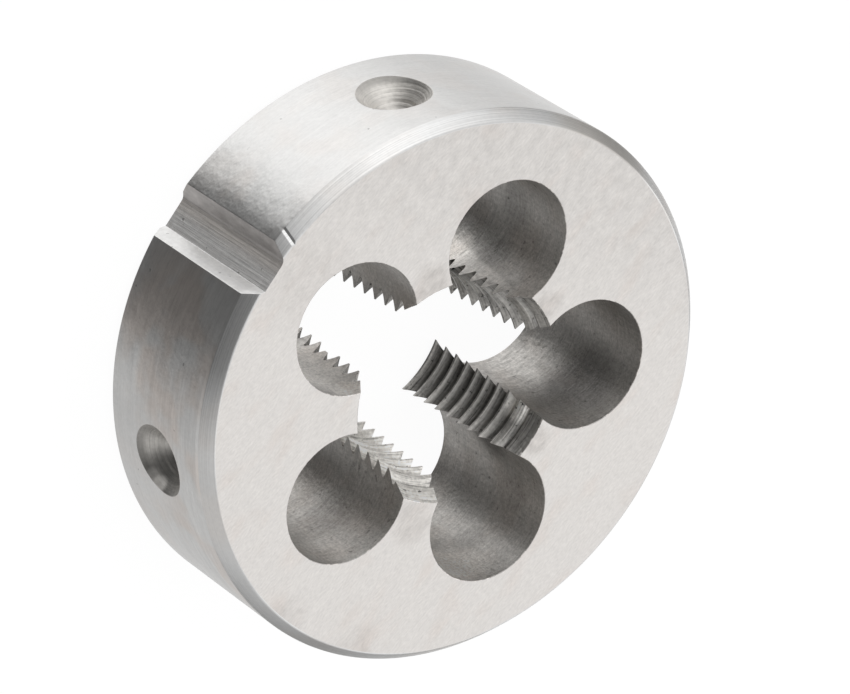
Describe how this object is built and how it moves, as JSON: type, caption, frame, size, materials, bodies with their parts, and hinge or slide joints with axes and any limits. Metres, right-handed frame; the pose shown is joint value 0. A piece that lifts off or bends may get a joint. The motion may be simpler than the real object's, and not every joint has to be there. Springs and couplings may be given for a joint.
{
  "type": "round threading die",
  "caption": "Round thread-cutting die: a ground steel disc with clearance holes round a tapered threaded bore, a setting notch and conical screw seats in its rim.",
  "frame": {"origin": "middle of the back face, on the die's axis", "axes": "+Z along the die's axis from the back face to the lead-in face, and -Y towards the setting notch"},
  "size_m": [0.045, 0.0449, 0.014],
  "materials": {
    "tool_steel": "hardened tool steel, ground bright on the faces and turned on the rim, with worn edges"
  },
  "bodies": {
    "root": {"threading_die": "tool_steel"}
  },
  "joints": []
}
